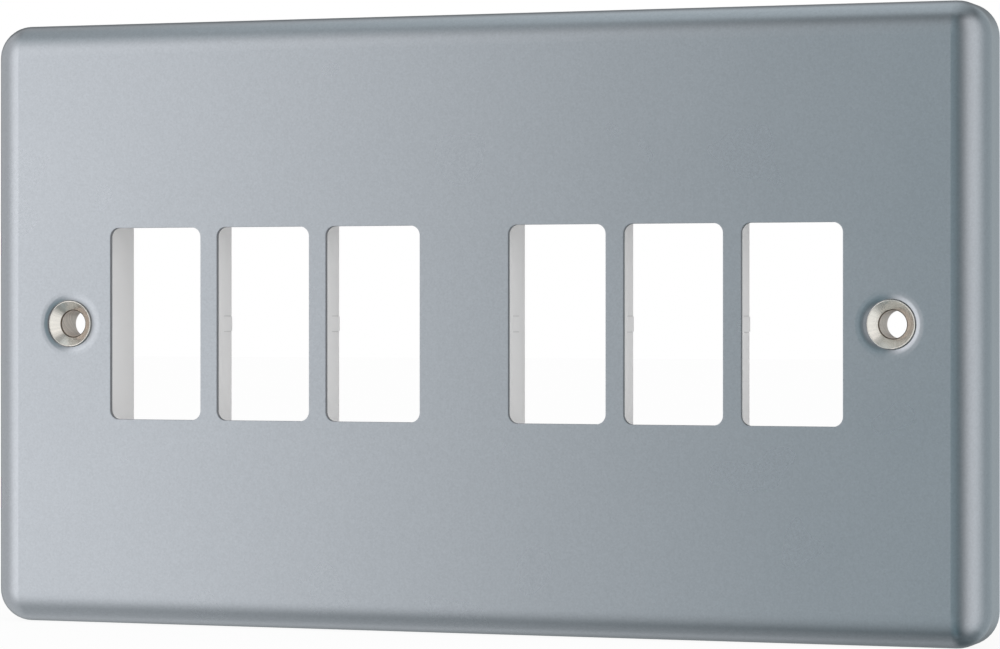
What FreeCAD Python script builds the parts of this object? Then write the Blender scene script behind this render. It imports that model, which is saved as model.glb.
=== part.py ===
import FreeCAD
import Part
import math
import os

# Six-way grid switch plate for a two-gang wall box, in millimetres.
# The plate stands upright as on a wall: +X to its right, +Z up, and its front faces -Y.
# The origin is the middle of the plate, half way between its front face and its back rim.
# Depths are measured from the front face towards the wall.

# Face plate, one dished sheet of pressed steel
PLATE_WIDTH = 146.0
PLATE_HEIGHT = 86.2
PLATE_DEPTH = 9.3
SHEET = 0.7
PLAN_CORNER = 4.7
EDGE_ROUNDING = 4.6

# Module apertures, two groups of three in one row
GROUP_SPACING = 60.3
APERTURES_PER_GROUP = 3
APERTURE_PITCH = 16.61
APERTURE_WIDTH = 14.07
APERTURE_HEIGHT = 27.3
APERTURE_CORNER = 1.35
PUNCH_ROLLOVER = 0.06

# Fixing holes, each with a dimple in the sheet and a countersunk eyelet. The dimple's shoulder
# bends twice, through angles in degrees, and its centre lies a little nearer to the plate's
# middle than the hole's. The seat's radius is that of its cone at the front face.
FIXING_SPACING = 2 * GROUP_SPACING
SHOULDER_START = 4.7
SHOULDER_OFFSET = 0.17
OUTER_BEND = 6.3
OUTER_TURN = 5.0
INNER_BEND = 2.16
INNER_TURN = 26.0
SEAT_RADIUS = 3.625
SHEET_HOLE_RADIUS = 2.4
EYELET_BORE_RADIUS = 1.9
EYELET_WALL = 0.22
EYELET_LIP_RADIUS = 3.23
EYELET_LIP_WIDTH = 0.08
EYELET_LIP_RISE = 0.02
EYELET_LIP_CROWN = 0.55
EYELET_LIP_SIDE = 0.08
CURL_RADIUS = 0.3
CURL_REACH = 2.95

# Liner, one white moulding behind the sheet
FLANGE_WIDTH = 132.0
FLANGE_HEIGHT = 38.0
FLANGE_CORNER = 4.0
FLANGE_THICKNESS = 1.2
RIM_RIB_WIDTH = 1.0
RIM_RIB_DEPTH = 3.4
WIRE_NOTCH_WIDTH = 5.0
CELL_STEP = 0.79
CELL_CORNER = 0.3
END_WALL_EXTRA = 0.13
LINER_WALL = 1.0
DIVIDER_DEPTH = 7.0
BOSS_RADIUS = 4.2
BOSS_DEPTH = 6.25
BOSS_CLEARANCE = 0.07
BOSS_CHAMFER = 0.35
BOSS_WEB_HEIGHT = 5.0
BOSS_WEB_LENGTH = 2.1
RELIEF_RADIUS = 4.9
RELIEF_FLOOR_RADIUS = 2.95
RELIEF_DEPTH = 1.85

# Snap pads half way up the cell walls. They rise towards their back ends, and each has a fine
# groove above it and one below it.
PAD_HEIGHT = 2.1
PAD_FRONT = 4.3
PAD_RISE = 0.1
GROOVE_WIDTH = 0.1
GROOVE_DEPTH = 0.06

# Earth terminal, a brass block welded to the back of the sheet, and its clamp screw
TERMINAL_WIDTH = 6.4
TERMINAL_HEIGHT = 7.0
TERMINAL_BACK = 7.3
TERMINAL_CHAMFER = 0.4
WINDOW_CLEARANCE = 0.4
EARTH_BORE_RADIUS = 1.3
EARTH_BORE_DEPTH = 3.5
SCREW_HOLE_RADIUS = 1.3
SCREW_SHANK_RADIUS = 1.25
SCREW_TIP_DEPTH = 4.95
SCREW_HEAD_RADIUS = 2.6
SCREW_HEAD_FRONT = 7.7
SCREW_HEAD_HEIGHT = 1.4
SCREW_SLOT_WIDTH = 0.8
SCREW_SLOT_DEPTH = 0.7
SCREW_EDGE_BREAK = 0.25

# How far an edge may lie off a plane and still count as lying in it
LEVEL_TOLERANCE = 0.0001

# Worked out from the sizes above
FRONT_Y = -PLATE_DEPTH / 2
COS_45 = math.sqrt(0.5)
CELL_WIDTH = APERTURE_WIDTH + 2 * CELL_STEP
CELL_HEIGHT = APERTURE_HEIGHT + 2 * CELL_STEP
GROUP_INNER_WIDTH = (APERTURES_PER_GROUP - 1) * APERTURE_PITCH + CELL_WIDTH
GROUP_CENTRES = (-GROUP_SPACING / 2, GROUP_SPACING / 2)
FIXINGS = {"left": -FIXING_SPACING / 2, "right": FIXING_SPACING / 2}
TUBE_RADIUS = EYELET_BORE_RADIUS + EYELET_WALL
# The seat's cone lies at 45 degrees, so radius plus depth is the same all along it, and so
# it is along the inside of the eyelet's flare.
FLARE_RADIUS = SEAT_RADIUS - EYELET_WALL / COS_45


def point(x, depth, z):
    return FreeCAD.Vector(x, FRONT_Y + depth, z)


def aperture_centres():
    middle = (APERTURES_PER_GROUP - 1) / 2
    steps = range(APERTURES_PER_GROUP)
    return [group + (step - middle) * APERTURE_PITCH for group in GROUP_CENTRES for step in steps]


def outline(start, steps, place):
    """Closed face. Each step is a place to go to in a straight line, or two places: one passed
    on an arc, and its end. The last step comes back to the start."""
    edges = []
    last = place(*start)
    for step in steps:
        end = place(*step[-2:])
        if len(step) == 4:
            edges.append(Part.Arc(last, place(*step[:2]), end).toShape())
        else:
            edges.append(Part.makeLine(last, end))
        last = end
    return Part.Face(Part.Wire(edges))


def rounded_block(width, height, corner, front, back, x=0.0):
    """Upright block with rounded corners, from one depth to another."""
    right = width / 2
    top = height / 2
    inset = corner * (1 - COS_45)
    steps = [
        (right, top - corner),
        (right - inset, top - inset, right - corner, top),
        (corner - right, top),
        (inset - right, top - inset, -right, top - corner),
        (-right, corner - top),
        (inset - right, inset - top, corner - right, -top),
        (right - corner, -top),
        (right - inset, inset - top, right, corner - top),
    ]
    face = outline((right, corner - top), steps, lambda across, up: point(x + across, front, up))
    return face.extrude(FreeCAD.Vector(0, back - front, 0))


def square_block(width, height, front, back, x=0.0, z=0.0):
    corner = point(x - width / 2, front, z - height / 2)
    return Part.makeBox(width, back - front, height, corner)


def cylinder(radius, front, back, x=0.0):
    return Part.makeCylinder(radius, back - front, point(x, front, 0), FreeCAD.Vector(0, 1, 0))


def turned(start, steps, x):
    """Ring turned about a fixing's axis. Its section's places are a radius and a depth."""
    face = outline(start, steps, lambda radius, depth: point(x + radius, depth, 0))
    return face.revolve(FreeCAD.Vector(x, 0, 0), FreeCAD.Vector(0, 1, 0), 360)


def edges_at_depth(shape, depth, half_height):
    """Edges that lie flat at one depth and within a height of the middle."""
    level = FRONT_Y + depth
    found = []
    for edge in shape.Edges:
        box = edge.BoundBox
        flat = max(abs(box.YMin - level), abs(box.YMax - level)) < LEVEL_TOLERANCE
        if flat and max(-box.ZMin, box.ZMax) < half_height:
            found.append(edge)
    return found


def dish(margin, back):
    """The plate's outside, or its inside with the sheet's thickness as margin."""
    width = PLATE_WIDTH - 2 * margin
    height = PLATE_HEIGHT - 2 * margin
    block = rounded_block(width, height, PLAN_CORNER - margin, margin, back)
    return block.makeFillet(EDGE_ROUNDING - margin, edges_at_depth(block, margin, PLATE_HEIGHT))


def shoulder(x, margin):
    """What lies in front of the dimple's shoulder or, with the sheet's thickness as margin, of
    its back. Two bends that run into each other, drawn through their middles, and a cone."""
    outer_turn = math.radians(OUTER_TURN)
    inner_turn = math.radians(INNER_TURN)
    step = OUTER_BEND - INNER_BEND
    inner_x = SHOULDER_START - step * math.sin(outer_turn)
    inner_depth = OUTER_BEND - step * math.cos(outer_turn)

    def outer(turn):
        radius = OUTER_BEND - margin
        return (SHOULDER_START - radius * math.sin(turn), OUTER_BEND - radius * math.cos(turn))

    def inner(turn):
        radius = INNER_BEND - margin
        return (inner_x - radius * math.sin(turn), inner_depth - radius * math.cos(turn))

    end_radius, end_depth = inner(inner_turn)
    steps = [
        outer(outer_turn / 2) + outer(outer_turn),
        inner((outer_turn + inner_turn) / 2) + (end_radius, end_depth),
        (0.0, end_depth + end_radius * math.tan(inner_turn)),
        (0.0, margin - SHEET),
        (SHOULDER_START, margin - SHEET),
        (SHOULDER_START, margin),
    ]
    return turned((SHOULDER_START, margin), steps, x - math.copysign(SHOULDER_OFFSET, x))


def seat(x, margin):
    """What lies in front of the dimple's cone or, with the sheet's thickness as margin, of its back."""
    foot_radius = SHEET_HOLE_RADIUS + margin * COS_45
    foot_depth = SEAT_RADIUS - SHEET_HOLE_RADIUS + margin * COS_45
    front = margin - SHEET
    front_radius = foot_radius + foot_depth - front
    steps = [
        (foot_radius, foot_depth),
        (0.0, foot_depth),
        (0.0, front),
        (front_radius, front),
    ]
    return turned((front_radius, front), steps, x)


def make_face_plate():
    plate = dish(0.0, PLATE_DEPTH).cut(dish(SHEET, PLATE_DEPTH + SHEET))
    for x in aperture_centres():
        hole = rounded_block(
            APERTURE_WIDTH, APERTURE_HEIGHT, APERTURE_CORNER, -SHEET, 2 * SHEET, x
        )
        plate = plate.cut(hole)
    plate = plate.makeFillet(PUNCH_ROLLOVER, edges_at_depth(plate, 0.0, APERTURE_HEIGHT))
    for x in FIXINGS.values():
        plate = plate.fuse(shoulder(x, SHEET)).fuse(seat(x, SHEET))
        plate = plate.cut(shoulder(x, 0.0)).cut(seat(x, 0.0))
        plate = plate.cut(cylinder(SHEET_HOLE_RADIUS, -SHEET, PLATE_DEPTH, x))
    return plate.removeSplitter()


def make_eyelet(x):
    """Countersunk eyelet: a lip, a cone on the dimple, a tube, and a curl behind the boss."""
    cone_foot = FLARE_RADIUS - EYELET_BORE_RADIUS
    lip_inner = EYELET_LIP_RADIUS - EYELET_LIP_WIDTH
    lip_top = FLARE_RADIUS - lip_inner
    lip_edge = SEAT_RADIUS - EYELET_LIP_RADIUS
    curl_centre = TUBE_RADIUS + CURL_RADIUS
    curl_depth = BOSS_DEPTH - CURL_RADIUS
    back = BOSS_DEPTH + EYELET_WALL
    bend = CURL_RADIUS * COS_45
    wide_bend = (CURL_RADIUS + EYELET_WALL) * COS_45
    steps = [
        (EYELET_BORE_RADIUS, cone_foot),
        (lip_inner, lip_top),
        (
            lip_inner + EYELET_LIP_WIDTH * EYELET_LIP_CROWN,
            lip_top - EYELET_LIP_RISE,
            EYELET_LIP_RADIUS,
            lip_edge - EYELET_LIP_SIDE,
        ),
        (EYELET_LIP_RADIUS, lip_edge),
        (TUBE_RADIUS, SEAT_RADIUS - TUBE_RADIUS),
        (TUBE_RADIUS, curl_depth),
        (curl_centre - bend, curl_depth + bend, curl_centre, BOSS_DEPTH),
        (CURL_REACH, BOSS_DEPTH),
        (CURL_REACH + EYELET_WALL / 2, BOSS_DEPTH + EYELET_WALL / 2, CURL_REACH, back),
        (curl_centre, back),
        (curl_centre - wide_bend, curl_depth + wide_bend, EYELET_BORE_RADIUS, curl_depth),
    ]
    return turned((EYELET_BORE_RADIUS, curl_depth), steps, x)


def boss_hole(x):
    """Room in a boss for the dimple, the eyelet's tube and the start of its curl."""
    hole_radius = TUBE_RADIUS + BOSS_CLEARANCE
    over = BOSS_DEPTH + BOSS_CHAMFER
    steps = [
        (RELIEF_RADIUS, 0.0),
        (RELIEF_RADIUS, SHEET),
        (RELIEF_FLOOR_RADIUS, RELIEF_DEPTH),
        (hole_radius, RELIEF_DEPTH),
        (hole_radius, BOSS_DEPTH - BOSS_CHAMFER),
        (hole_radius + 2 * BOSS_CHAMFER, over),
        (0.0, over),
        (0.0, 0.0),
    ]
    return turned((0.0, 0.0), steps, x)


def make_group_walls(centre):
    """Outer wall round three cells, with two shorter dividers between them."""
    wall = rounded_block(
        GROUP_INNER_WIDTH + 2 * LINER_WALL,
        CELL_HEIGHT + 2 * LINER_WALL,
        CELL_CORNER + LINER_WALL,
        SHEET,
        PLATE_DEPTH,
        centre,
    )
    above_dividers = rounded_block(
        GROUP_INNER_WIDTH, CELL_HEIGHT, CELL_CORNER, DIVIDER_DEPTH, PLATE_DEPTH + SHEET, centre
    )
    return wall.cut(above_dividers)


def add_snap_pad(liner, wall_x, side):
    """Liner with one more pad. The side is +1 on a wall that faces +X, -1 on the other."""
    root = wall_x - side * LINER_WALL / 2
    steps = [
        (wall_x, PAD_FRONT),
        (wall_x + side * PAD_RISE, DIVIDER_DEPTH),
        (root, DIVIDER_DEPTH),
        (root, PAD_FRONT),
    ]
    face = outline(
        (root, PAD_FRONT), steps, lambda across, depth: point(across, depth, -PAD_HEIGHT / 2)
    )
    liner = liner.fuse(face.extrude(FreeCAD.Vector(0, 0, PAD_HEIGHT)))
    groove_z = (PAD_HEIGHT + GROOVE_WIDTH) / 2
    for z in (-groove_z, groove_z):
        groove = square_block(2 * GROOVE_DEPTH, GROOVE_WIDTH, PAD_FRONT, DIVIDER_DEPTH, wall_x, z)
        liner = liner.cut(groove)
    return liner


def make_liner():
    liner = rounded_block(FLANGE_WIDTH, FLANGE_HEIGHT, FLANGE_CORNER, SHEET, RIM_RIB_DEPTH)
    hollow = rounded_block(
        FLANGE_WIDTH - 2 * RIM_RIB_WIDTH,
        FLANGE_HEIGHT - 2 * RIM_RIB_WIDTH,
        FLANGE_CORNER - RIM_RIB_WIDTH,
        SHEET + FLANGE_THICKNESS,
        RIM_RIB_DEPTH + SHEET,
    )
    liner = liner.cut(hollow)
    for centre in GROUP_CENTRES:
        liner = liner.fuse(make_group_walls(centre))
    for x in FIXINGS.values():
        liner = liner.fuse(cylinder(BOSS_RADIUS, SHEET, BOSS_DEPTH, x))
        web_x = math.copysign(abs(x) - BOSS_RADIUS, x)
        web = square_block(BOSS_WEB_LENGTH, BOSS_WEB_HEIGHT, SHEET, BOSS_DEPTH, web_x)
        liner = liner.fuse(web)
    centres = aperture_centres()
    for x in centres:
        cell = rounded_block(CELL_WIDTH, CELL_HEIGHT, CELL_CORNER, 0.0, PLATE_DEPTH + SHEET, x)
        liner = liner.cut(cell)
    # The walls at the two ends of the row are thicker than the others.
    for x in (centres[0] - CELL_WIDTH / 2, centres[-1] + CELL_WIDTH / 2):
        thicker = square_block(
            2 * END_WALL_EXTRA, CELL_HEIGHT + LINER_WALL, SHEET, PLATE_DEPTH, x
        )
        liner = liner.fuse(thicker)
    for x in FIXINGS.values():
        liner = liner.cut(boss_hole(x))
    window = square_block(
        TERMINAL_WIDTH + 2 * WINDOW_CLEARANCE,
        TERMINAL_HEIGHT + 2 * WINDOW_CLEARANCE,
        0.0,
        RIM_RIB_DEPTH,
    )
    liner = liner.cut(window)
    # The earth wire leaves upwards between the groups, through a notch in the rim rib.
    floor = SHEET + FLANGE_THICKNESS
    notch_z = (FLANGE_HEIGHT - RIM_RIB_WIDTH) / 2
    notch = square_block(WIRE_NOTCH_WIDTH, 2 * RIM_RIB_WIDTH, floor, PLATE_DEPTH, 0.0, notch_z)
    liner = liner.cut(notch)
    # All the other walls at a cell's sides have a pad.
    for x in centres[1:]:
        liner = add_snap_pad(liner, x - CELL_WIDTH / 2, 1)
    for x in centres[:-1]:
        liner = add_snap_pad(liner, x + CELL_WIDTH / 2, -1)
    return liner.removeSplitter()


def make_earth_terminal():
    block = square_block(TERMINAL_WIDTH, TERMINAL_HEIGHT, SHEET, TERMINAL_BACK)
    level = FRONT_Y + SHEET
    free_edges = [edge for edge in block.Edges if edge.BoundBox.YMax > level + LEVEL_TOLERANCE]
    block = block.makeChamfer(TERMINAL_CHAMFER, free_edges)
    bore_start = point(0, EARTH_BORE_DEPTH, -TERMINAL_HEIGHT)
    bore = Part.makeCylinder(EARTH_BORE_RADIUS, 2 * TERMINAL_HEIGHT, bore_start)
    block = block.cut(bore)
    return block.cut(cylinder(SCREW_HOLE_RADIUS, EARTH_BORE_DEPTH, PLATE_DEPTH))


def make_earth_screw():
    head_back = SCREW_HEAD_FRONT + SCREW_HEAD_HEIGHT
    steps = [
        (SCREW_SHANK_RADIUS, SCREW_TIP_DEPTH),
        (SCREW_SHANK_RADIUS, SCREW_HEAD_FRONT),
        (SCREW_HEAD_RADIUS, SCREW_HEAD_FRONT),
        (SCREW_HEAD_RADIUS, head_back - SCREW_EDGE_BREAK),
        (SCREW_HEAD_RADIUS - SCREW_EDGE_BREAK, head_back),
        (0.0, head_back),
        (0.0, SCREW_TIP_DEPTH),
    ]
    screw = turned((0.0, SCREW_TIP_DEPTH), steps, 0.0)
    slot_length = 2 * SCREW_HEAD_RADIUS + SCREW_EDGE_BREAK
    slot_floor = head_back - SCREW_SLOT_DEPTH
    slot = square_block(slot_length, SCREW_SLOT_WIDTH, slot_floor, PLATE_DEPTH + SHEET)
    return screw.cut(slot)


def make_parts():
    parts = {"face_plate": make_face_plate(), "liner": make_liner()}
    for side, x in FIXINGS.items():
        parts["eyelet_" + side] = make_eyelet(x)
    parts["earth_terminal"] = make_earth_terminal()
    parts["earth_screw"] = make_earth_screw()
    return parts


def write_parts():
    os.makedirs("parts", exist_ok=True)
    for name, shape in make_parts().items():
        solid = shape.Solids[0]
        if len(shape.Solids) != 1 or not solid.isValid():
            raise ValueError(name + " is not one valid solid")
        solid.exportStep("parts/" + name + ".step")
        box = solid.BoundBox
        print(
            f"{name}: {solid.Volume:.1f} mm3, x {box.XMin:.2f} to {box.XMax:.2f},"
            f" y {box.YMin:.2f} to {box.YMax:.2f}, z {box.ZMin:.2f} to {box.ZMax:.2f}"
        )


write_parts()
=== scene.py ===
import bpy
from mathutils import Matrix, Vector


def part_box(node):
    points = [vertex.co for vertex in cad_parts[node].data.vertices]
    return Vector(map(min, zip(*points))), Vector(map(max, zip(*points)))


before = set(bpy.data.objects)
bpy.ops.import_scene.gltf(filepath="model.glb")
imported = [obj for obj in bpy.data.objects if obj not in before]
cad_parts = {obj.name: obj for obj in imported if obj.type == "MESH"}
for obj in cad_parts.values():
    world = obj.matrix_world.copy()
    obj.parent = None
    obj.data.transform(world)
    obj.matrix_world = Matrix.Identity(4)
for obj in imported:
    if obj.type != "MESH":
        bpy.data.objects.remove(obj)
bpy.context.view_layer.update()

import math

import bmesh
import bpy
from bpy.props import FloatProperty, FloatVectorProperty, PointerProperty
from bpy.types import Operator, Panel, PropertyGroup

bl_info = {
    "name": "Grid switch plate",
    "version": (1, 0, 0),
    "blender": (4, 5, 0),
    "location": "3D View > Sidebar > Switch plate",
    "description": "Finishes for a six-way grid switch plate, its clamp screw and its studio",
    "category": "Object",
}

# The plate stands upright: +X to its right, +Z up, front facing -Y. All lengths are metres.
PLATE_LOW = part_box("face_plate")[0]
FRONT_Y = PLATE_LOW.y
FLOOR_Z = PLATE_LOW.z
SHEET = 0.0007
# Where the snap pads start and end behind the front, and between which distances from the
# middle of the plate they are.
PAD_FRONT = 0.0043
PAD_BACK = 0.0069
PADS_ACROSS = (0.0053, 0.054)


def eyelet_axis(name):
    """Where an eyelet's axis crosses the plate, from the middle of the plate."""
    low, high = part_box(name)
    return (low.x + high.x) / 2


# Sizes and colours a user would change


class PaintSettings(PropertyGroup):
    colour: FloatVectorProperty(
        name="Paint", description="Colour of the metallic paint", subtype="COLOR",
        size=3, min=0, max=1, default=(0.532, 0.55, 0.586),
    )
    inside_colour: FloatVectorProperty(
        name="Inside", description="Colour of the thin paint inside the dish", subtype="COLOR",
        size=3, min=0, max=1, default=(0.5, 0.5, 0.505),
    )
    # The cut edge colour is also painted shade on the right-facing slopes of each eyelet's seat.
    cut_and_seat_shade_colour: FloatVectorProperty(
        name="Cut edge", description="Colour of the punched edges", subtype="COLOR",
        size=3, min=0, max=1, default=(0.255, 0.255, 0.27),
    )
    roughness: FloatProperty(
        name="Roughness", description="Roughness of the paint on the front",
        min=0.05, max=1, default=0.28,
    )
    fleck: FloatProperty(
        name="Fleck", description="Size of the grain that the metal flakes make",
        unit="LENGTH", min=0.00002, max=0.002, default=0.00027,
    )
    fleck_contrast: FloatProperty(
        name="Fleck contrast", description="How much the flakes differ in shade",
        min=0, max=0.5, default=0.18,
    )
    # Within this radius round each eyelet, the seat's right-facing slopes get painted shade.
    seat_shade_radius: FloatProperty(
        name="Seat radius", description="Radius within which the paint is thin round an eyelet",
        unit="LENGTH", min=0.001, max=0.01, default=0.0037,
    )
    ripple: FloatProperty(
        name="Ripple", description="Width of the slow waves in the sprayed coat",
        unit="LENGTH", min=0.0002, max=0.02, default=0.0016,
    )


class LinerSettings(PropertyGroup):
    colour: FloatVectorProperty(
        name="Plastic", description="Colour of the white moulding", subtype="COLOR",
        size=3, min=0, max=1, default=(0.825, 0.82, 0.82),
    )
    roughness: FloatProperty(
        name="Roughness", description="Roughness of the moulded surface",
        min=0.05, max=1, default=0.5,
    )
    texture: FloatProperty(
        name="Mould texture", description="Size of the grain left by the mould",
        unit="LENGTH", min=0.00002, max=0.002, default=0.00018,
    )
    pin_spacing: FloatProperty(
        name="Ejector pins", description="Distance between the ejector pins' marks on the back",
        unit="LENGTH", min=0.004, max=0.05, default=0.01661,
    )
    groove_height: FloatProperty(
        name="Groove height", description="Height of a groove's middle from the middle of its pad",
        unit="LENGTH", min=0.0, max=0.01, default=0.0011,
    )
    # The grooves' darker colour is painted shadow.
    groove_shade: FloatProperty(
        name="Groove shade", description="How much darker the grooves beside the snap pads are",
        min=0, max=1, default=0.24,
    )


class EyeletSettings(PropertyGroup):
    colour: FloatVectorProperty(
        name="Nickel", description="Colour of the nickel plate", subtype="COLOR",
        size=3, min=0, max=1, default=(0.925, 0.872, 0.805),
    )
    # Painted shade: the bore's nickel is darker and warmer than the cone's, standing in for the
    # light lost between the bore's walls.
    bore_shade_colour: FloatVectorProperty(
        name="Bore", description="Colour of the tarnished nickel in the bore", subtype="COLOR",
        size=3, min=0, max=1, default=(0.79, 0.71, 0.645),
    )
    # A dark ring is drawn in this colour where the cone meets the bore.
    dark_ring_colour: FloatVectorProperty(
        name="Dirt", description="Colour of the dirt where the cone meets the bore",
        subtype="COLOR", size=3, min=0, max=1, default=(0.12, 0.09, 0.065),
    )
    dark_ring_width: FloatProperty(
        name="Dirt width", description="Half the width of the line of dirt", unit="LENGTH",
        min=0.00001, max=0.001, default=0.00018,
    )
    bore_radius: FloatProperty(
        name="Bore radius", description="Radius of the bore", unit="LENGTH",
        min=0.0005, max=0.01, default=0.0019,
    )
    bore_start: FloatProperty(
        name="Bore start", description="Depth of the bore's front edge behind the plate's front",
        unit="LENGTH", min=0.0, max=0.01, default=0.001414,
    )
    roughness: FloatProperty(
        name="Roughness", description="Roughness of the nickel plate",
        min=0.05, max=1, default=0.17,
    )
    line_pitch: FloatProperty(
        name="Line pitch", description="Distance between the fine lines inside the bore",
        unit="LENGTH", min=0.00002, max=0.001, default=0.00016,
    )


class EarthSettings(PropertyGroup):
    brass_colour: FloatVectorProperty(
        name="Brass", description="Colour of the terminal", subtype="COLOR",
        size=3, min=0, max=1, default=(0.75, 0.58, 0.28),
    )
    zinc_colour: FloatVectorProperty(
        name="Zinc", description="Colour of the clamp screw's plating", subtype="COLOR",
        size=3, min=0, max=1, default=(0.64, 0.63, 0.6),
    )


class StudioSettings(PropertyGroup):
    camera_place: FloatVectorProperty(
        name="Camera", description="Where the camera stands", subtype="TRANSLATION",
        unit="LENGTH", size=3, default=(0.17756, -0.48684, 0.001497),
    )
    camera_turn: FloatProperty(
        name="Camera turn", description="How far the camera turns to its left from straight ahead",
        subtype="ANGLE", default=math.radians(19.655),
    )
    lens: FloatProperty(
        name="Lens", description="Focal length in millimetres on a 36 mm wide sensor",
        min=10, max=400, default=134.035,
    )
    shift: FloatProperty(
        name="Shift", description="How far the frame is shifted upwards, as a share of its width",
        min=-0.1, max=0.1, default=-0.01133,
    )
    key_colour: FloatVectorProperty(
        name="Soft box light", description="Colour of the soft boxes and the backdrop",
        subtype="COLOR", size=3, min=0, max=2, default=(1.0, 1.0, 1.0),
    )
    side_colour: FloatVectorProperty(
        name="Side light", description="Colour of the overhead card and the walls at the sides",
        subtype="COLOR", size=3, min=0, max=2, default=(0.9, 1.0, 1.03),
    )
    room_colour: FloatVectorProperty(
        name="Room light", description="Colour of the room in front of the plate",
        subtype="COLOR", size=3, min=0, max=2, default=(0.77, 1.0, 1.07),
    )
    front_fill: FloatProperty(
        name="Front fill", description="Level of the soft light from the front",
        min=0, max=3, default=1.46,
    )
    back_fill: FloatProperty(
        name="Back fill", description="Level of the soft light from behind",
        min=0, max=3, default=0.45,
    )
    floor_width: FloatProperty(
        name="Floor", description="Width of the floor", unit="LENGTH", min=0.5, max=20, default=6.0,
    )
    floor_shadow: FloatProperty(
        name="Floor shadow", description="How much of the plate's shadow the pale floor shows",
        min=0, max=1, default=0.08,
    )


class SwitchPlateSettings(PropertyGroup):
    paint: PointerProperty(type=PaintSettings)
    liner: PointerProperty(type=LinerSettings)
    eyelet: PointerProperty(type=EyeletSettings)
    earth: PointerProperty(type=EarthSettings)
    studio: PointerProperty(type=StudioSettings)


# Shader nodes


def feed(tree, node, inputs):
    """Sets a node's inputs, by name or number, to values or to other nodes' sockets."""
    for key, value in inputs.items():
        if isinstance(value, bpy.types.NodeSocket):
            tree.links.new(value, node.inputs[key])
        else:
            node.inputs[key].default_value = value
    return node


def put(tree, kind, inputs=None, **settings):
    """Adds a node with its settings and its inputs."""
    node = tree.nodes.new(kind)
    for name, value in settings.items():
        setattr(node, name, value)
    return feed(tree, node, inputs or {})


def math_node(tree, operation, *values):
    return put(tree, "ShaderNodeMath", dict(enumerate(values)), operation=operation).outputs[0]


def vector_node(tree, operation, *values):
    node = put(tree, "ShaderNodeVectorMath", dict(enumerate(values)), operation=operation)
    scalar = operation in {"DOT_PRODUCT", "LENGTH"}
    return node.outputs["Value" if scalar else "Vector"]


def scaled(tree, vector, factor):
    node = put(tree, "ShaderNodeVectorMath", {0: vector, "Scale": factor}, operation="SCALE")
    return node.outputs["Vector"]


def ramp(tree, value, start, end, low=0.0, high=1.0):
    """Smooth step of a value from one level to another."""
    inputs = {"Value": value, "From Min": start, "From Max": end, "To Min": low, "To Max": high}
    node = put(tree, "ShaderNodeMapRange", inputs, interpolation_type="SMOOTHSTEP")
    return node.outputs["Result"]


def apart(tree, vector):
    """A vector's three parts."""
    return put(tree, "ShaderNodeSeparateXYZ", {0: vector}).outputs


def from_axis(tree, parts):
    """The vector of a place's X and Z parts, whose length is the distance from the Y axis."""
    return put(tree, "ShaderNodeCombineXYZ", {"X": parts[0], "Z": parts[2]}).outputs[0]


def between(tree, value, low, high, soft_low, soft_high):
    """1 between two levels, falling softly to 0 beyond them."""
    rise = ramp(tree, value, low - soft_low, low + soft_low)
    fall = ramp(tree, value, high + soft_high, high - soft_high)
    return math_node(tree, "MULTIPLY", rise, fall)


# The Mix node's sockets for colours: the two that go in and the one that comes out.
MIX_FIRST, MIX_SECOND, MIX_RESULT = 6, 7, 2


def blend_colour(tree, factor, first, second):
    inputs = {"Factor": factor, MIX_FIRST: first, MIX_SECOND: second}
    return put(tree, "ShaderNodeMix", inputs, data_type="RGBA").outputs[MIX_RESULT]


def rgba(colour):
    return (*colour, 1.0)


def new_group(name, inputs, outputs):
    """Node group with named sockets. Returns its tree, its input node and its output node."""
    tree = bpy.data.node_groups.new(name, "ShaderNodeTree")
    for label, kind in inputs.items():
        tree.interface.new_socket(label, in_out="INPUT", socket_type="NodeSocket" + kind)
    for label, kind in outputs.items():
        tree.interface.new_socket(label, in_out="OUTPUT", socket_type="NodeSocket" + kind)
    return tree, tree.nodes.new("NodeGroupInput"), tree.nodes.new("NodeGroupOutput")


def use_group(tree, group, inputs):
    return put(tree, "ShaderNodeGroup", inputs, node_tree=group)


# How much a grain's specks count beside its smooth noise.
SPECK_SHARE = 0.35


def grain_group():
    """Fine grain: a shade that varies about 1, and the height of the bumps."""
    found = bpy.data.node_groups.get("fine_grain")
    if found:
        return found
    tree, given, result = new_group(
        "fine_grain",
        {"Place": "Vector", "Size": "Float", "Contrast": "Float"},
        {"Shade": "Float", "Height": "Float"},
    )
    scale = math_node(tree, "DIVIDE", 1.0, given.outputs["Size"])
    noise = put(
        tree, "ShaderNodeTexNoise",
        {"Vector": given.outputs["Place"], "Scale": scale, "Detail": 2.0, "Roughness": 0.6},
    )
    specks = put(tree, "ShaderNodeTexVoronoi", {"Vector": given.outputs["Place"], "Scale": scale})
    speck = put(tree, "ShaderNodeSeparateColor", {0: specks.outputs["Color"]}).outputs[0]
    height = math_node(tree, "MULTIPLY_ADD", speck, SPECK_SHARE, noise.outputs["Fac"])
    centred = math_node(tree, "SUBTRACT", height, (1 + SPECK_SHARE) / 2)
    shade = math_node(tree, "MULTIPLY_ADD", centred, given.outputs["Contrast"], 1.0)
    tree.links.new(shade, result.inputs["Shade"])
    tree.links.new(height, result.inputs["Height"])
    return tree


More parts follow.
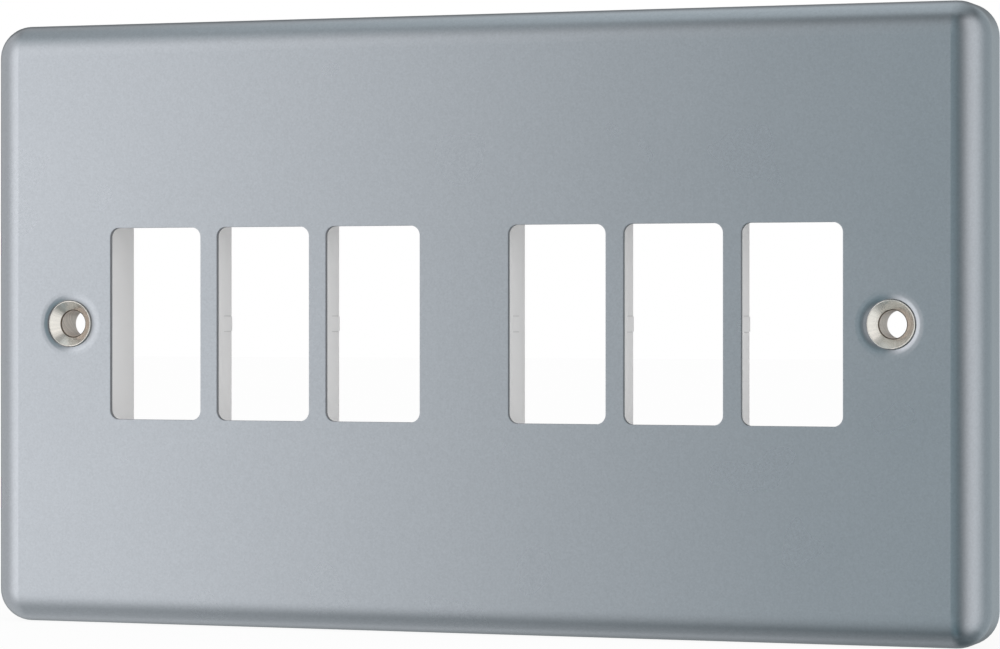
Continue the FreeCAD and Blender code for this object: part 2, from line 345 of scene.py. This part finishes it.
def turning_group():
    """Lines on a turned piece: rings along and across its axis, and streaks drawn towards it."""
    found = bpy.data.node_groups.get("turning_lines")
    if found:
        return found
    tree, given, result = new_group(
        "turning_lines",
        {"Place": "Vector", "Axis": "Vector", "Pitch": "Float"},
        {"Rings": "Float", "Streaks": "Float"},
    )
    away = vector_node(tree, "SUBTRACT", given.outputs["Place"], given.outputs["Axis"])
    parts = apart(tree, away)
    flat = from_axis(tree, parts)
    radius = vector_node(tree, "LENGTH", flat)
    along = math_node(tree, "ADD", radius, parts[1])
    along = math_node(tree, "DIVIDE", along, given.outputs["Pitch"])
    rings = put(
        tree, "ShaderNodeTexNoise", {"W": along, "Scale": 1.0, "Detail": 2.0},
        noise_dimensions="1D",
    )
    direction = vector_node(tree, "NORMALIZE", flat)
    streaks = put(
        tree, "ShaderNodeTexNoise",
        {"Vector": direction, "Scale": 9.0, "Detail": 4.0, "Roughness": 0.65},
    )
    tree.links.new(rings.outputs["Fac"], result.inputs["Rings"])
    tree.links.new(streaks.outputs["Fac"], result.inputs["Streaks"])
    return tree


def new_finish(name):
    """Material with an empty tree, the place on the piece and a Principled shader."""
    material = bpy.data.materials.new(name)
    material.use_nodes = True
    tree = material.node_tree
    tree.nodes.clear()
    output = tree.nodes.new("ShaderNodeOutputMaterial")
    shader = tree.nodes.new("ShaderNodeBsdfPrincipled")
    tree.links.new(shader.outputs[0], output.inputs["Surface"])
    place = tree.nodes.new("ShaderNodeTexCoord").outputs["Object"]
    return material, tree, shader, place


def bumped(tree, height, distance, normal=None):
    inputs = {"Height": height, "Distance": distance, "Strength": 1.0}
    if normal is not None:
        inputs["Normal"] = normal
    return put(tree, "ShaderNodeBump", inputs).outputs[0]


# Finishes

# Slopes are parts of a surface's normal, lengths are metres, and scales and stretches count the
# repeats in a metre. A pair is where an effect starts and where it is full.


def surface_parts(tree):
    """The three parts of the surface's normal, and the normal itself."""
    normal = tree.nodes.new("ShaderNodeNewGeometry").outputs["Normal"]
    return apart(tree, normal), normal


def grained(tree, place, size, contrast):
    inputs = {"Place": place, "Size": size, "Contrast": contrast}
    return use_group(tree, grain_group(), inputs).outputs


# A surface counts as inside the dish when it faces away from the front and towards the middle
# of the plate or the back. A cut edge is steep and no deeper than the sheet.
NOT_FRONT_SLOPE = (-0.1, -0.02)
INSIDE_REACH = (0.0005, 0.0015)
BACK_REACH = 0.004
CUT_SLOPE = (0.55, 0.15)
CUT_DEPTH = (SHEET + 0.00015, SHEET + 0.00005)
# Painted shade on each eyelet's seat: on slopes that lean right, fading in between these two parts
# of the normal, and fading out over this width at the seat's radius.
SEAT_SHADE_SLOPE = (0.35, 0.6)
SEAT_SHADE_EDGE = 0.0001
INSIDE_METAL_LOSS = 0.5
INSIDE_ROUGHER = 0.2
CUT_ROUGHER = 0.15
UNEVEN_SCALE = 60.0
UNEVEN_ROUGHNESS = 0.04
WAVE_HEIGHT = 0.000003
FLECK_HEIGHT = 0.0000016


def inside_mask(tree, spots, facing, normal):
    """Where the paint is thin because it lies inside the dish."""
    outward = vector_node(tree, "DOT_PRODUCT", from_axis(tree, spots), normal)
    towards_middle = math_node(tree, "MULTIPLY", outward, -1.0)
    inward = math_node(tree, "MULTIPLY_ADD", facing[1], BACK_REACH, towards_middle)
    not_front = ramp(tree, facing[1], *NOT_FRONT_SLOPE)
    return math_node(tree, "MULTIPLY", ramp(tree, inward, *INSIDE_REACH), not_front)


def cut_and_seat_shade_mask(tree, spots, facing, seat_shade_radius):
    """Punched edges, and painted shade on the right-facing slopes of each eyelet's seat."""
    steep = ramp(tree, math_node(tree, "ABSOLUTE", facing[1]), *CUT_SLOPE)
    near_front = ramp(tree, spots[1], *[FRONT_Y + depth for depth in CUT_DEPTH])
    cut = math_node(tree, "MULTIPLY", steep, near_front)
    beside = math_node(tree, "ABSOLUTE", spots[0])
    reach = math_node(tree, "SUBTRACT", beside, eyelet_axis("eyelet_right"))
    fixing = put(tree, "ShaderNodeCombineXYZ", {"X": reach, "Z": spots[2]}).outputs[0]
    distance = vector_node(tree, "LENGTH", fixing)
    close = ramp(tree, distance, seat_shade_radius, seat_shade_radius - SEAT_SHADE_EDGE)
    # Painted shade: the right-facing slopes of each eyelet's seat, turned away from the key light,
    # take the cut edge's dark colour.
    seat_shade = math_node(tree, "MULTIPLY", close, ramp(tree, facing[0], *SEAT_SHADE_SLOPE))
    return math_node(tree, "MAXIMUM", cut, seat_shade)


def sheet_paint(settings):
    """Satin metallic paint on the front, thin paint inside, darker punched edges, and painted shade
    on the eyelets' seats.
    """
    material, tree, shader, place = new_finish("satin_silver_paint")
    grain = grained(tree, place, settings.fleck, settings.fleck_contrast)
    facing, normal = surface_parts(tree)
    spots = apart(tree, place)
    inside = inside_mask(tree, spots, facing, normal)
    # This mask holds the punched edges and the painted shade on the eyelets' seats.
    cut = cut_and_seat_shade_mask(tree, spots, facing, settings.seat_shade_radius)
    coat = blend_colour(tree, inside, rgba(settings.colour), rgba(settings.inside_colour))
    coat = blend_colour(tree, cut, coat, rgba(settings.cut_and_seat_shade_colour))
    tree.links.new(scaled(tree, coat, grain["Shade"]), shader.inputs["Base Color"])
    metal = math_node(tree, "MULTIPLY_ADD", inside, -INSIDE_METAL_LOSS, 1.0)
    tree.links.new(metal, shader.inputs["Metallic"])
    uneven = put(
        tree, "ShaderNodeTexNoise", {"Vector": place, "Scale": UNEVEN_SCALE, "Detail": 2.0},
    )
    lowest = settings.roughness - UNEVEN_ROUGHNESS / 2
    rough = math_node(tree, "MULTIPLY_ADD", uneven.outputs["Fac"], UNEVEN_ROUGHNESS, lowest)
    rough = math_node(tree, "MULTIPLY_ADD", inside, INSIDE_ROUGHER, rough)
    rough = math_node(tree, "MULTIPLY_ADD", cut, CUT_ROUGHER, rough)
    tree.links.new(rough, shader.inputs["Roughness"])
    ripple = put(
        tree, "ShaderNodeTexNoise",
        {"Vector": place, "Scale": 1 / settings.ripple, "Detail": 1.0},
    )
    waves = bumped(tree, ripple.outputs["Fac"], WAVE_HEIGHT)
    tree.links.new(bumped(tree, grain["Height"], FLECK_HEIGHT, waves), shader.inputs["Normal"])
    return material


FLOW_STRETCH = (60.0, 200.0, 200.0)
FLOW_CONTRAST = 0.03
MOULD_CONTRAST = 0.03
MOULD_HEIGHT = 0.000003
GROOVE_HALF_WIDTH = 0.00005
GROOVE_EDGE = 0.00001
GROOVE_END = 0.00005
PIN_ROW = 0.0166
PIN_RADIUS = (0.00085, 0.00095)
PIN_DEPTH = 0.00004


def liner_plastic(settings):
    """White plastic with its mould's fine texture, painted shadow in the grooves beside the snap
    pads, and ejector marks on its back.
    """
    material, tree, shader, place = new_finish("white_moulding")
    grain = grained(tree, place, settings.texture, MOULD_CONTRAST)
    stretched = vector_node(tree, "MULTIPLY", place, FLOW_STRETCH)
    flow = put(tree, "ShaderNodeTexNoise", {"Vector": stretched, "Scale": 1.0, "Detail": 2.0})
    shade = math_node(
        tree, "MULTIPLY_ADD", flow.outputs["Fac"], FLOW_CONTRAST, 1 - FLOW_CONTRAST / 2
    )
    shade = math_node(tree, "MULTIPLY", shade, grain["Shade"])
    spots = apart(tree, place)
    beside = math_node(tree, "ABSOLUTE", spots[0])
    level = math_node(tree, "ABSOLUTE", spots[2])
    pads_depth = (FRONT_Y + PAD_FRONT, FRONT_Y + PAD_BACK)
    low = settings.groove_height - GROOVE_HALF_WIDTH
    high = settings.groove_height + GROOVE_HALF_WIDTH
    # Painted shadow: the plastic is darker in the grooves beside the snap pads.
    groove_shadow = between(tree, level, low, high, GROOVE_EDGE, GROOVE_EDGE)
    for value, reach in ((spots[1], pads_depth), (beside, PADS_ACROSS)):
        along = between(tree, value, *reach, GROOVE_END, GROOVE_END)
        groove_shadow = math_node(tree, "MULTIPLY", groove_shadow, along)
    darkening = math_node(tree, "MULTIPLY_ADD", groove_shadow, -settings.groove_shade, 1.0)
    shade = math_node(tree, "MULTIPLY", shade, darkening)
    tree.links.new(scaled(tree, settings.colour, shade), shader.inputs["Base Color"])
    shader.inputs["Roughness"].default_value = settings.roughness
    column = math_node(tree, "PINGPONG", spots[0], settings.pin_spacing / 2)
    row = math_node(tree, "SUBTRACT", level, PIN_ROW)
    spot = put(tree, "ShaderNodeCombineXYZ", {"X": column, "Y": row}).outputs[0]
    pin = ramp(tree, vector_node(tree, "LENGTH", spot), *PIN_RADIUS)
    dent = bumped(tree, pin, PIN_DEPTH)
    tree.links.new(bumped(tree, grain["Height"], MOULD_HEIGHT, dent), shader.inputs["Normal"])
    return material


# The bore is where the radius is hardly over its own, behind the cone. The dark ring lies
# where cone and bore meet, and its limits are shares of its width.
OVER_BORE = (0.00008, 0.00003)
BORE_EDGE = 0.00004
DARK_RING_FADE = 0.4
DARK_RING_REACH = 1.4
SLANT = 1.1
HATCH = (0.35, 0.65)
HATCH_CONTRAST = 0.5
NICKEL_GRAIN = 0.0001
NICKEL_CONTRAST = 0.08
STREAK_CONTRAST = 0.3
STREAK_ROUGHNESS = 0.12
NICKEL_METAL = 0.82
BORE_METAL_LOSS = 0.34
BORE_ROUGHER = 0.2
DARK_RING_ROUGHER = 0.3
RING_HEIGHT = 0.000008
STREAK_HEIGHT = 0.00002


def eyelet_masks(tree, spots, settings):
    """Where the bore is, and where the dark ring at its front edge is."""
    radius = vector_node(tree, "LENGTH", from_axis(tree, spots))
    over = math_node(tree, "SUBTRACT", radius, settings.bore_radius)
    behind = math_node(tree, "SUBTRACT", spots[1], FRONT_Y + settings.bore_start)
    deep = ramp(tree, behind, -BORE_EDGE, BORE_EDGE)
    in_bore = math_node(tree, "MULTIPLY", ramp(tree, over, *OVER_BORE), deep)
    width = settings.dark_ring_width
    close = ramp(tree, math_node(tree, "ABSOLUTE", behind), width, width * DARK_RING_FADE)
    dark_ring = math_node(tree, "MULTIPLY", close, ramp(tree, over, width * DARK_RING_REACH, width))
    return in_bore, dark_ring


def bore_hatch(tree, spots, pitch):
    """Fine slanting lines inside the bore."""
    slant = math_node(tree, "MULTIPLY_ADD", spots[2], SLANT, spots[1])
    inputs = {"W": math_node(tree, "DIVIDE", slant, pitch), "Scale": 1.0, "Detail": 1.0}
    hatch = put(tree, "ShaderNodeTexNoise", inputs, noise_dimensions="1D")
    return ramp(tree, hatch.outputs["Fac"], *HATCH)


def eyelet_nickel(settings, name):
    """Nickel plate with drawn streaks on the cone, and slanting lines and painted shade, darker and
    warmer, in the bore.
    """
    material, tree, shader, place = new_finish("nickel_" + name)
    axis = (eyelet_axis(name), 0.0, 0.0)
    lines = use_group(
        tree, turning_group(), {"Place": place, "Axis": axis, "Pitch": settings.line_pitch},
    ).outputs
    grain = grained(tree, place, NICKEL_GRAIN, NICKEL_CONTRAST)
    spots = apart(tree, vector_node(tree, "SUBTRACT", place, axis))
    in_bore, dark_ring = eyelet_masks(tree, spots, settings)
    hatch = bore_hatch(tree, spots, settings.line_pitch)
    # Painted shade in the bore: its darker, warmer nickel colour.
    colour = blend_colour(tree, in_bore, rgba(settings.colour), rgba(settings.bore_shade_colour))
    colour = blend_colour(tree, dark_ring, colour, rgba(settings.dark_ring_colour))
    streak = math_node(
        tree, "MULTIPLY_ADD", lines["Streaks"], STREAK_CONTRAST, 1 - STREAK_CONTRAST / 2
    )
    bored = math_node(tree, "MULTIPLY", math_node(tree, "SUBTRACT", hatch, 0.5), in_bore)
    ring = math_node(tree, "MULTIPLY_ADD", bored, HATCH_CONTRAST, 1.0)
    shade = math_node(tree, "MULTIPLY", streak, ring)
    shade = math_node(tree, "MULTIPLY", shade, grain["Shade"])
    tree.links.new(scaled(tree, colour, shade), shader.inputs["Base Color"])
    metal = math_node(tree, "MULTIPLY_ADD", in_bore, -BORE_METAL_LOSS, NICKEL_METAL)
    tree.links.new(metal, shader.inputs["Metallic"])
    lowest = settings.roughness - STREAK_ROUGHNESS / 2
    rough = math_node(tree, "MULTIPLY_ADD", lines["Streaks"], STREAK_ROUGHNESS, lowest)
    rough = math_node(tree, "MULTIPLY_ADD", in_bore, BORE_ROUGHER, rough)
    rough = math_node(tree, "MULTIPLY_ADD", dark_ring, DARK_RING_ROUGHER, rough)
    tree.links.new(rough, shader.inputs["Roughness"])
    ringed = bumped(tree, lines["Rings"], RING_HEIGHT)
    normal = bumped(tree, lines["Streaks"], STREAK_HEIGHT, ringed)
    tree.links.new(normal, shader.inputs["Normal"])
    return material


BAR_STRETCH = (9000.0, 9000.0, 160.0)
BAR_CONTRAST = 0.12
BRASS_GRAIN = 0.00012
BRASS_CONTRAST = 0.06
TARNISH_SCALE = 420.0
TARNISH = (0.45, 0.75)
TARNISH_SHADE = 0.72
TARNISH_ROUGHER = 0.1
BRASS_ROUGHNESS = 0.28
SAWN_STRETCH = (300.0, 7000.0, 300.0)
SAWN_SLOPE = (0.8, 0.95)
SAWN_ROUGHER = 0.14
BRASS_LINE_HEIGHT = 0.000006


def terminal_brass(settings):
    """Bare brass bar: lines along the bar, and sawn ends."""
    material, tree, shader, place = new_finish("extruded_brass")
    grain = grained(tree, place, BRASS_GRAIN, BRASS_CONTRAST)
    drawn = vector_node(tree, "MULTIPLY", place, BAR_STRETCH)
    lines = put(tree, "ShaderNodeTexNoise", {"Vector": drawn, "Scale": 1.0, "Detail": 3.0})
    tarnish = put(
        tree, "ShaderNodeTexNoise", {"Vector": place, "Scale": TARNISH_SCALE, "Detail": 3.0},
    )
    darkening = ramp(tree, tarnish.outputs["Fac"], *TARNISH)
    brass = rgba(settings.brass_colour)
    dark = rgba([channel * TARNISH_SHADE for channel in settings.brass_colour])
    colour = blend_colour(tree, darkening, brass, dark)
    shade = math_node(
        tree, "MULTIPLY_ADD", lines.outputs["Fac"], BAR_CONTRAST, 1 - BAR_CONTRAST / 2
    )
    shade = math_node(tree, "MULTIPLY", shade, grain["Shade"])
    tree.links.new(scaled(tree, colour, shade), shader.inputs["Base Color"])
    shader.inputs["Metallic"].default_value = 1.0
    facing, _ = surface_parts(tree)
    end = ramp(tree, math_node(tree, "ABSOLUTE", facing[2]), *SAWN_SLOPE)
    rough = math_node(tree, "MULTIPLY_ADD", darkening, TARNISH_ROUGHER, BRASS_ROUGHNESS)
    rough = math_node(tree, "MULTIPLY_ADD", end, SAWN_ROUGHER, rough)
    tree.links.new(rough, shader.inputs["Roughness"])
    sawn_place = vector_node(tree, "MULTIPLY", place, SAWN_STRETCH)
    sawn = put(tree, "ShaderNodeTexNoise", {"Vector": sawn_place, "Scale": 1.0, "Detail": 2.0})
    side = math_node(tree, "SUBTRACT", 1.0, end)
    height = math_node(tree, "MULTIPLY", lines.outputs["Fac"], side)
    height = math_node(tree, "MULTIPLY_ADD", sawn.outputs["Fac"], end, height)
    tree.links.new(bumped(tree, height, BRASS_LINE_HEIGHT), shader.inputs["Normal"])
    return material


ZINC_PITCH = 0.00016
ZINC_LINE_CONTRAST = 0.14
ZINC_GRAIN = 0.00015
ZINC_CONTRAST = 0.08
ZINC_ROUGHNESS = 0.2
ZINC_ROUGHER = 0.12
ZINC_LINE_HEIGHT = 0.000004


def screw_zinc(settings):
    """Bright zinc plate on a turned and rolled steel screw."""
    material, tree, shader, place = new_finish("zinc_plate")
    lines = use_group(
        tree, turning_group(), {"Place": place, "Axis": (0.0, 0.0, 0.0), "Pitch": ZINC_PITCH},
    ).outputs
    grain = grained(tree, place, ZINC_GRAIN, ZINC_CONTRAST)
    shade = math_node(
        tree, "MULTIPLY_ADD", lines["Rings"], ZINC_LINE_CONTRAST, 1 - ZINC_LINE_CONTRAST / 2
    )
    shade = math_node(tree, "MULTIPLY", shade, grain["Shade"])
    tree.links.new(scaled(tree, settings.zinc_colour, shade), shader.inputs["Base Color"])
    shader.inputs["Metallic"].default_value = 1.0
    rough = math_node(tree, "MULTIPLY_ADD", grain["Height"], ZINC_ROUGHER, ZINC_ROUGHNESS)
    tree.links.new(rough, shader.inputs["Roughness"])
    tree.links.new(bumped(tree, lines["Rings"], ZINC_LINE_HEIGHT), shader.inputs["Normal"])
    return material


def dress(node, material):
    """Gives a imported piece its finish, in every material slot it has."""
    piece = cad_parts[node]
    if not piece.material_slots:
        raise RuntimeError(node + " has no material slot")
    for slot in piece.material_slots:
        slot.material = material


# Pieces


class SWITCHPLATE_OT_face_plate(Operator):
    """Paint the pressed steel sheet"""

    bl_idname = "switch_plate.face_plate"
    bl_label = "Face plate"

    def execute(self, context):
        dress("face_plate", sheet_paint(context.scene.switch_plate.paint))
        return {"FINISHED"}


class SWITCHPLATE_OT_liner(Operator):
    """Finish the white moulding behind the sheet"""

    bl_idname = "switch_plate.liner"
    bl_label = "Liner"

    def execute(self, context):
        dress("liner", liner_plastic(context.scene.switch_plate.liner))
        return {"FINISHED"}


class SWITCHPLATE_OT_eyelets(Operator):
    """Finish both countersunk eyelets"""

    bl_idname = "switch_plate.eyelets"
    bl_label = "Eyelets"

    def execute(self, context):
        for name in ("eyelet_left", "eyelet_right"):
            dress(name, eyelet_nickel(context.scene.switch_plate.eyelet, name))
        return {"FINISHED"}


class SWITCHPLATE_OT_earth_terminal(Operator):
    """Finish the brass earth terminal"""

    bl_idname = "switch_plate.earth_terminal"
    bl_label = "Earth terminal"

    def execute(self, context):
        dress("earth_terminal", terminal_brass(context.scene.switch_plate.earth))
        return {"FINISHED"}


class SWITCHPLATE_OT_earth_screw(Operator):
    """Finish the clamp screw"""

    bl_idname = "switch_plate.earth_screw"
    bl_label = "Earth screw"

    def execute(self, context):
        dress("earth_screw", screw_zinc(context.scene.switch_plate.earth))
        return {"FINISHED"}


# Studio

WHITE = (1.0, 1.0, 1.0, 1.0)
PALE = (0.9, 0.9, 0.9, 1.0)
# The sensor is measured in millimetres, and the camera sees between the two distances.
SENSOR_WIDTH = 36.0
CLIP = (0.01, 50.0)
FLOOR_CELLS = 8

# Each soft box: its strength, its left and right with their soft edges, and its foot and top with
# theirs, in degrees round the plate. 0 is straight in front of it, and positive is to its right
# or up. A negative strength is a black flag, which takes light away from the boxes behind it.
SOFT_BOXES = {
    "key": (1.348, -51.7, -21.5, 28.9, 10.2, -42.1, 41.3, 33.4, 23.2),
    "right_box": (0.695, 31.8, 91.6, 24.8, 27.6, -57.2, 53.5, 26.9, 12.6),
    "left_wall": (0.545, -157.5, -52.4, 22.5, 33.0, -71.7, 52.2, 20.1, 19.8),
    "back_flag": (-0.448, -153.5, -128.2, 18.1, 4.6, -22.3, 36.1, 24.6, 6.1),
    "front_foot": (-0.128, -36.7, 97.0, 3.0, 17.5, -70.9, -32.9, 4.3, 35.8),
    "backdrop_left": (0.15, -400.0, -166.0, 1.0, 12.0, -45.0, 60.0, 20.0, 20.0),
    "backdrop_right": (0.15, 162.0, 400.0, 14.0, 1.0, -45.0, 60.0, 20.0, 20.0),
}
SIDE_WALLS = {
    "left_top": (0.712, -79.4, -32.8, 54.6, 6.2, 43.8, 60.0, 32.3, 8.8),
    "right_wall": (0.404, 82.1, 172.0, 54.6, 8.0, -33.0, 42.4, 15.7, 10.8),
    "right_low": (0.214, 64.5, 156.4, 23.5, 3.0, -59.0, -29.4, 42.6, 3.0),
}
ROOM_WALLS = {
    "front_wall": (0.648, -13.8, -5.1, 3.7, 40.8, -100.4, 68.5, 35.6, 41.2),
}
# The room's level changes from its top to its foot, from straight up to straight down.
ROOM_SPAN = (90.0, -90.0)
ROOM_TOP = 0.030
ROOM_FOOT = 0.121
# The overhead card: its strength, and its sides with their soft edges, from left to right and
# from front to back, for a card one unit up. It fades out towards the horizon.
OVERHEAD_STRENGTH = 0.984
OVERHEAD_ACROSS = (-0.477, 0.015, 0.159, 1.276)
OVERHEAD_ALONG = (-0.313, 0.916, 0.260, 0.560)
OVERHEAD_FADE = (0.0, 15.0)
HORIZON = 0.0175
# Between which directions the fill changes from the front's level to the back's.
FILL_TURN = (-0.4, 0.25)


def add_boxes(tree, turn, height, boxes, start):
    total = start
    for strength, *sides in boxes.values():
        patch = math_node(
            tree, "MULTIPLY", between(tree, turn, *sides[:4]), between(tree, height, *sides[4:])
        )
        total = math_node(tree, "MULTIPLY_ADD", patch, strength, total)
    return total


def overhead_card(tree, parts, height):
    up = math_node(tree, "MAXIMUM", parts[2], HORIZON)
    across = between(tree, math_node(tree, "DIVIDE", parts[0], up), *OVERHEAD_ACROSS)
    along = between(tree, math_node(tree, "DIVIDE", parts[1], up), *OVERHEAD_ALONG)
    card = math_node(tree, "MULTIPLY", across, along)
    card = math_node(tree, "MULTIPLY", card, ramp(tree, height, *OVERHEAD_FADE))
    return math_node(tree, "MULTIPLY", card, OVERHEAD_STRENGTH)


def studio_light(tree, parts, settings):
    """What shiny pieces mirror: the room, the side walls with the card, and the soft boxes."""
    degrees = math.degrees(1)
    toward = math_node(tree, "MULTIPLY", parts[1], -1.0)
    turn = math_node(tree, "MULTIPLY", math_node(tree, "ARCTAN2", parts[0], toward), degrees)
    height = math_node(tree, "MULTIPLY", math_node(tree, "ARCSINE", parts[2]), degrees)
    room = ramp(tree, height, *ROOM_SPAN, ROOM_TOP, ROOM_FOOT)
    room = add_boxes(tree, turn, height, ROOM_WALLS, room)
    sides = add_boxes(tree, turn, height, SIDE_WALLS, overhead_card(tree, parts, height))
    boxes = add_boxes(tree, turn, height, SOFT_BOXES, 0.0)
    light = scaled(tree, settings.room_colour, room)
    light = vector_node(tree, "ADD", light, scaled(tree, settings.side_colour, sides))
    return vector_node(tree, "ADD", light, scaled(tree, settings.key_colour, boxes))


def build_world(settings):
    """Shiny pieces mirror the studio, a plain fill lights the rest, and the camera sees white."""
    world = bpy.data.worlds.new("studio")
    bpy.context.scene.world = world
    world.use_nodes = True
    tree = world.node_tree
    tree.nodes.clear()
    parts = apart(tree, tree.nodes.new("ShaderNodeTexCoord").outputs["Generated"])
    rays = tree.nodes.new("ShaderNodeLightPath").outputs
    mirrored = math_node(tree, "MAXIMUM", rays["Is Glossy Ray"], rays["Is Transmission Ray"])
    level = ramp(tree, parts[1], *FILL_TURN, settings.front_fill, settings.back_fill)

    def background(colour, strength):
        inputs = {"Color": colour, "Strength": strength}
        return put(tree, "ShaderNodeBackground", inputs).outputs[0]

    studio = background(studio_light(tree, parts, settings), 1.0)
    fill = background(WHITE, level)
    lit = put(tree, "ShaderNodeMixShader", {0: mirrored, 1: fill, 2: studio}).outputs[0]
    inputs = {0: rays["Is Camera Ray"], 1: lit, 2: background(WHITE, 1.0)}
    seen = put(tree, "ShaderNodeMixShader", inputs).outputs[0]
    put(tree, "ShaderNodeOutputWorld", {"Surface": seen})
    world.cycles.sampling_method = "NONE"


def build_floor(settings):
    """Pale floor, white to the camera but for a share of the plate's shadow."""
    material = bpy.data.materials.new("pale_floor")
    material.use_nodes = True
    tree = material.node_tree
    tree.nodes.clear()
    rays = tree.nodes.new("ShaderNodeLightPath").outputs
    pale = put(tree, "ShaderNodeBsdfDiffuse", {"Color": PALE}).outputs[0]
    white = put(tree, "ShaderNodeEmission", {"Color": WHITE, "Strength": 1.0}).outputs[0]
    share = math_node(tree, "MULTIPLY", rays["Is Camera Ray"], 1 - settings.floor_shadow)
    mixed = put(tree, "ShaderNodeMixShader", {0: share, 1: pale, 2: white}).outputs[0]
    put(tree, "ShaderNodeOutputMaterial", {"Surface": mixed})
    mesh = bpy.data.meshes.new("floor")
    shape = bmesh.new()
    bmesh.ops.create_grid(
        shape, x_segments=FLOOR_CELLS, y_segments=FLOOR_CELLS, size=settings.floor_width / 2,
    )
    shape.to_mesh(mesh)
    shape.free()
    mesh.materials.append(material)
    floor = bpy.data.objects.new("floor", mesh)
    floor.location.z = FLOOR_Z
    bpy.context.scene.collection.objects.link(floor)
    floor.visible_glossy = False


def build_camera(settings):
    data = bpy.data.cameras.new("camera")
    data.sensor_width = SENSOR_WIDTH
    data.lens = settings.lens
    data.shift_y = settings.shift
    data.clip_start, data.clip_end = CLIP
    camera = bpy.data.objects.new("camera", data)
    camera.location = settings.camera_place
    camera.rotation_euler = (math.pi / 2, 0.0, settings.camera_turn)
    bpy.context.scene.collection.objects.link(camera)
    bpy.context.scene.camera = camera


class SWITCHPLATE_OT_studio(Operator):
    """Build the floor, the light and the camera"""

    bl_idname = "switch_plate.studio"
    bl_label = "Studio"

    def execute(self, context):
        settings = context.scene.switch_plate.studio
        build_camera(settings)
        build_floor(settings)
        build_world(settings)
        context.scene.view_settings.view_transform = "Standard"
        return {"FINISHED"}


STEPS = (
    SWITCHPLATE_OT_face_plate,
    SWITCHPLATE_OT_liner,
    SWITCHPLATE_OT_eyelets,
    SWITCHPLATE_OT_earth_terminal,
    SWITCHPLATE_OT_earth_screw,
    SWITCHPLATE_OT_studio,
)


class SWITCHPLATE_PT_panel(Panel):
    """Sizes, colours and pieces of the switch plate"""

    bl_idname = "SWITCHPLATE_PT_panel"
    bl_label = "Switch plate"
    bl_space_type = "VIEW_3D"
    bl_region_type = "UI"
    bl_category = "Switch plate"

    def draw(self, context):
        settings = context.scene.switch_plate
        for part in ("paint", "liner", "eyelet", "earth", "studio"):
            group = getattr(settings, part)
            box = self.layout.box()
            for name in group.__annotations__:
                box.prop(group, name)
        for step in STEPS:
            self.layout.operator(step.bl_idname)


CLASSES = (
    PaintSettings,
    LinerSettings,
    EyeletSettings,
    EarthSettings,
    StudioSettings,
    SwitchPlateSettings,
    *STEPS,
    SWITCHPLATE_PT_panel,
)


def register():
    for made in CLASSES:
        bpy.utils.register_class(made)
    bpy.types.Scene.switch_plate = PointerProperty(type=SwitchPlateSettings)


def unregister():
    del bpy.types.Scene.switch_plate
    for made in reversed(CLASSES):
        bpy.utils.unregister_class(made)


def main():
    register()
    bpy.ops.switch_plate.face_plate()
    bpy.ops.switch_plate.liner()
    bpy.ops.switch_plate.eyelets()
    bpy.ops.switch_plate.earth_terminal()
    bpy.ops.switch_plate.earth_screw()
    bpy.ops.switch_plate.studio()
    bpy.context.view_layer.update()


if __name__ == "__main__":
    main()
